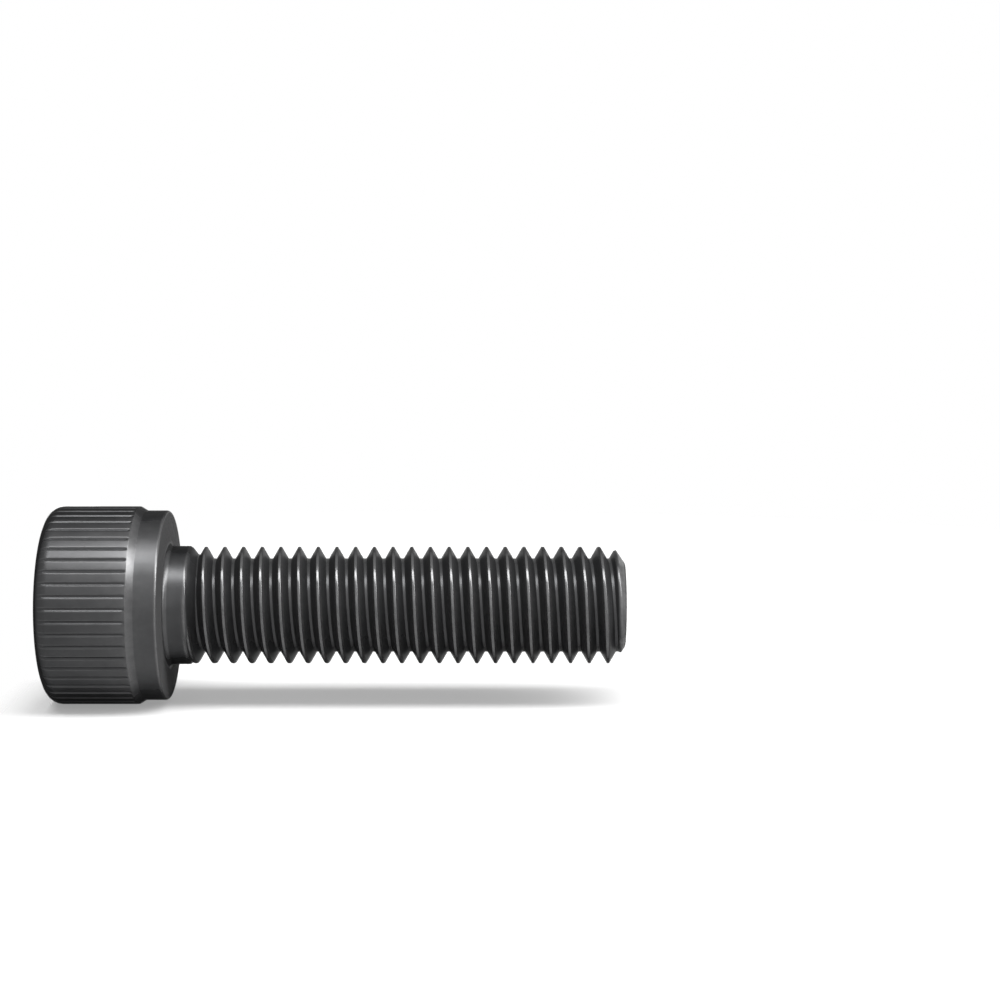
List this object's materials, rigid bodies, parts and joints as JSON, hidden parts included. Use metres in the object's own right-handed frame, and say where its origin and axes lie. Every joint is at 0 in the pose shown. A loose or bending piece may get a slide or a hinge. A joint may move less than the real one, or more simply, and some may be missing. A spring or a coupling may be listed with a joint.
{
  "type": "hex socket cap screw",
  "caption": "Socket head cap screw: cylindrical head with a knurled side and a hexagon socket, short plain neck, and a right-hand thread down to a chamfered tip.",
  "frame": {"origin": "centre of the bearing face under the head", "axes": "+Z along the screw's axis from the head to the tip, the screw standing on the flat top of its head; +X and +Y square to it, with two flats of the socket facing +X and -X"},
  "size_m": [0.0132, 0.0132, 0.0384],
  "materials": {
    "black_steel": "black oxide, satin, slightly oiled"
  },
  "bodies": {
    "root": {"cap_screw": "black_steel"}
  },
  "joints": []
}
